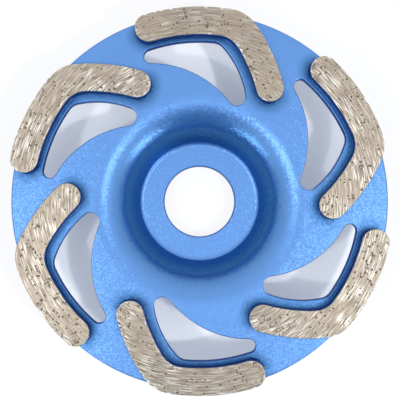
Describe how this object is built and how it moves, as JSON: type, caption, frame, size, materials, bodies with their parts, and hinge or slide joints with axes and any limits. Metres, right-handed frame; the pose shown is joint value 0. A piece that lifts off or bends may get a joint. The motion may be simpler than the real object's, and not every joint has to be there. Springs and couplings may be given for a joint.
{
  "type": "diamond cup wheel",
  "caption": "Cup-shaped grinding wheel for an angle grinder: a painted steel cup with a central bore, leaf-shaped air slots and elbow-shaped abrasive segments brazed on its ring.",
  "frame": {"origin": "centre of the flat back face of the hub, on the wheel's axis, which is also the centre of the base of its bounding box", "axes": "+Z along the wheel's axis from the hub's back face towards the grinding face; +X and +Y lie in the back face, with +X to the right and +Y up as the picture shows the wheel"},
  "size_m": [0.1132, 0.115, 0.025],
  "materials": {
    "paint": "satin blue enamel on forged steel, with a fine grain",
    "matrix": "sintered bronze-toned metal bond, ground flat, with fine scratches and small dark grit pits"
  },
  "bodies": {
    "root": {"cup_body": "paint", "segment_1": "matrix", "segment_2": "matrix", "segment_3": "matrix", "segment_4": "matrix", "segment_5": "matrix", "segment_6": "matrix"}
  },
  "joints": []
}
